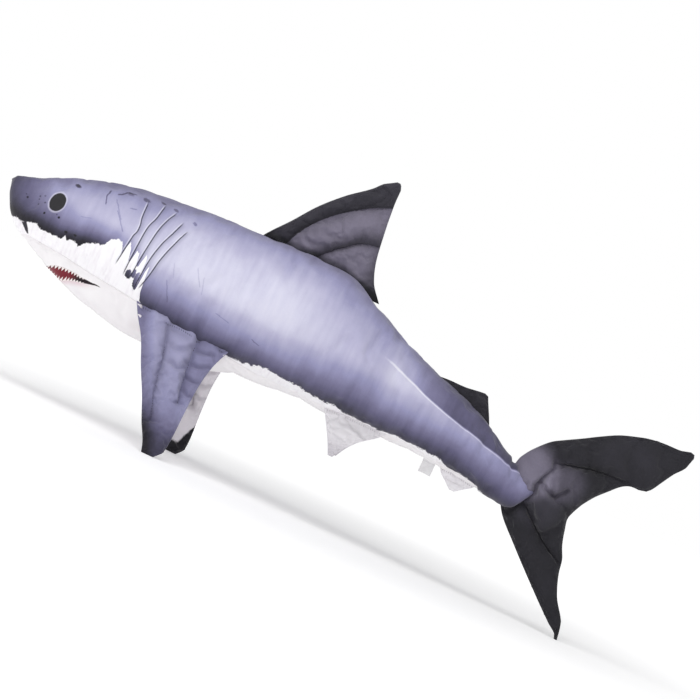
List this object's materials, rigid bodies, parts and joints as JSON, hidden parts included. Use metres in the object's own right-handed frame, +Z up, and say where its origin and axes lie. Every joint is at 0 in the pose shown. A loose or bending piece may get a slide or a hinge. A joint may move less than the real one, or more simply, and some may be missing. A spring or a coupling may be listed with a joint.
{
  "type": "plush shark",
  "caption": "Large stuffed cloth shark with a printed body, quilted fins and a crescent tail, sewn fins bend at their seams.",
  "frame": {"origin": "middle of the bounding box on the floor, under the belly, with the shark level and upright", "axes": "+X from the nose to the tail, +Z up through the back; the shark's left side faces -Y"},
  "size_m": [1.2006, 0.32, 0.564],
  "materials": {
    "printed_grey_cloth": "printed short-nap polyester",
    "fin_grey_cloth": "printed short-nap polyester",
    "charcoal_fin_cloth": "printed short-nap polyester",
    "white_belly_cloth": "short-nap polyester",
    "fibre_filling": "loose polyester fibre",
    "sewing_thread": "polyester thread",
    "label_satin": "satin ribbon"
  },
  "bodies": {
    "body": {"body_stuffing": "fibre_filling", "left_side_panel": "printed_grey_cloth", "right_side_panel": "printed_grey_cloth", "belly_panel": "white_belly_cloth", "closing_stitches": "sewing_thread", "care_label": "label_satin", "dorsal_fin_root_seam": "sewing_thread", "second_dorsal_root_seam": "sewing_thread", "anal_fin_root_seam": "sewing_thread", "left_pectoral_root_seam": "sewing_thread", "right_pectoral_root_seam": "sewing_thread", "left_pelvic_root_seam": "sewing_thread", "right_pelvic_root_seam": "sewing_thread"},
    "dorsal_fin": {"dorsal_fin_left_panel": "charcoal_fin_cloth", "dorsal_fin_right_panel": "charcoal_fin_cloth", "dorsal_fin_stuffing": "fibre_filling", "dorsal_fin_quilting": "sewing_thread"},
    "second_dorsal_fin": {"second_dorsal_left_panel": "charcoal_fin_cloth", "second_dorsal_right_panel": "charcoal_fin_cloth", "second_dorsal_stuffing": "fibre_filling"},
    "anal_fin": {"anal_fin_left_panel": "white_belly_cloth", "anal_fin_right_panel": "white_belly_cloth", "anal_fin_stuffing": "fibre_filling"},
    "tail": {"tail_fin_left_panel": "charcoal_fin_cloth", "tail_fin_right_panel": "charcoal_fin_cloth", "tail_fin_stuffing": "fibre_filling", "tail_fin_quilting": "sewing_thread"},
    "left_pectoral_fin": {"left_pectoral_upper_panel": "fin_grey_cloth", "left_pectoral_lower_panel": "white_belly_cloth", "left_pectoral_stuffing": "fibre_filling", "left_pectoral_quilting": "sewing_thread"},
    "left_pelvic_fin": {"left_pelvic_outer_panel": "white_belly_cloth", "left_pelvic_inner_panel": "white_belly_cloth", "left_pelvic_stuffing": "fibre_filling"},
    "right_pectoral_fin": {"right_pectoral_upper_panel": "fin_grey_cloth", "right_pectoral_lower_panel": "white_belly_cloth", "right_pectoral_stuffing": "fibre_filling", "right_pectoral_quilting": "sewing_thread"},
    "right_pelvic_fin": {"right_pelvic_outer_panel": "white_belly_cloth", "right_pelvic_inner_panel": "white_belly_cloth", "right_pelvic_stuffing": "fibre_filling"}
  },
  "joints": [
    {"name": "dorsal_fin_flop", "type": "hinge", "parent": "body", "child": "dorsal_fin", "pos_m": [-0.08, 0, 0.398], "axis": [1, 0, 0], "range_deg": [-25, 25], "stiffness_Nm_per_rad": 1},
    {"name": "second_dorsal_flop", "type": "hinge", "parent": "body", "child": "second_dorsal_fin", "pos_m": [0.22793, 0, 0.29126], "axis": [0.9397, 0, -0.342], "range_deg": [-25, 25], "stiffness_Nm_per_rad": 0.05},
    {"name": "anal_fin_flop", "type": "hinge", "parent": "body", "child": "anal_fin", "pos_m": [0.269, 0, 0.168], "axis": [0.9988, 0, -0.0499], "range_deg": [-25, 25], "stiffness_Nm_per_rad": 0.05},
    {"name": "left_pectoral_flap", "type": "hinge", "parent": "body", "child": "left_pectoral_fin", "pos_m": [-0.2264, -0.08115, 0.20243], "axis": [-0.9914, -0.0563, 0.1179], "range_deg": [-8, 50], "stiffness_Nm_per_rad": 5},
    {"name": "right_pectoral_flap", "type": "hinge", "parent": "body", "child": "right_pectoral_fin", "pos_m": [-0.2264, 0.08115, 0.20243], "axis": [0.9914, -0.0563, -0.1179], "range_deg": [-8, 50], "stiffness_Nm_per_rad": 5},
    {"name": "left_pelvic_flap", "type": "hinge", "parent": "body", "child": "left_pelvic_fin", "pos_m": [0.08, -0.03025, 0.18378], "axis": [-1, 0, 0], "range_deg": [-12, 35], "stiffness_Nm_per_rad": 0.05},
    {"name": "right_pelvic_flap", "type": "hinge", "parent": "body", "child": "right_pelvic_fin", "pos_m": [0.08, 0.03025, 0.18378], "axis": [1, 0, 0], "range_deg": [-12, 35], "stiffness_Nm_per_rad": 0.05},
    {"name": "tail_swing", "type": "hinge", "parent": "body", "child": "tail", "pos_m": [0.35, 0, 0.2], "axis": [0.2588, 0, 0.9659], "range_deg": [-25, 25], "stiffness_Nm_per_rad": 2}
  ]
}
